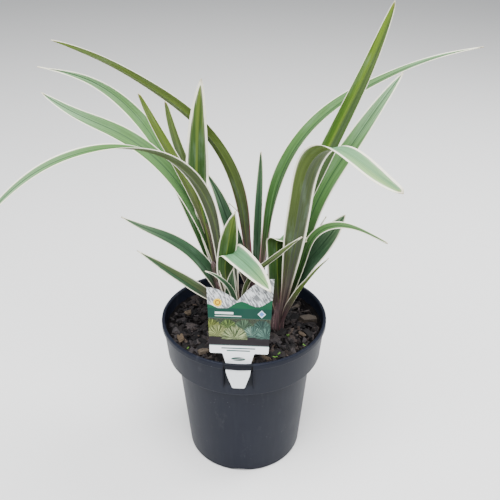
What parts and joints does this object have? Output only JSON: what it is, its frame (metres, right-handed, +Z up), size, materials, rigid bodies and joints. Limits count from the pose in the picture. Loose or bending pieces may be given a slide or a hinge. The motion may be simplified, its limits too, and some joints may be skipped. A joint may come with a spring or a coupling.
{
  "type": "potted dianella",
  "caption": "Potted variegated dianella: strappy arching leaves with cream edges in leafy shoots, in bark mix in a round dark nursery pot with a plant label.",
  "frame": {"origin": "centre of the pot's flat underside, on the ground", "axes": "+Z up along the pot's axis, -Y towards the front, where the label's tongue hangs outside the collar"},
  "size_m": [0.3665, 0.2268, 0.3935],
  "materials": {
    "pot_plastic": "moulded plastic, dusty",
    "bark": "damp composted bark",
    "leaf": "waxy leaf with cream edges",
    "label_sheet": "printed plastic sheet"
  },
  "bodies": {
    "root": {"nursery_pot": "pot_plastic", "bark_mix": "bark", "plant_label": "label_sheet", "shoot_left": "leaf", "shoot_back": "leaf", "shoot_front": "leaf", "shoot_right": "leaf"}
  },
  "joints": []
}
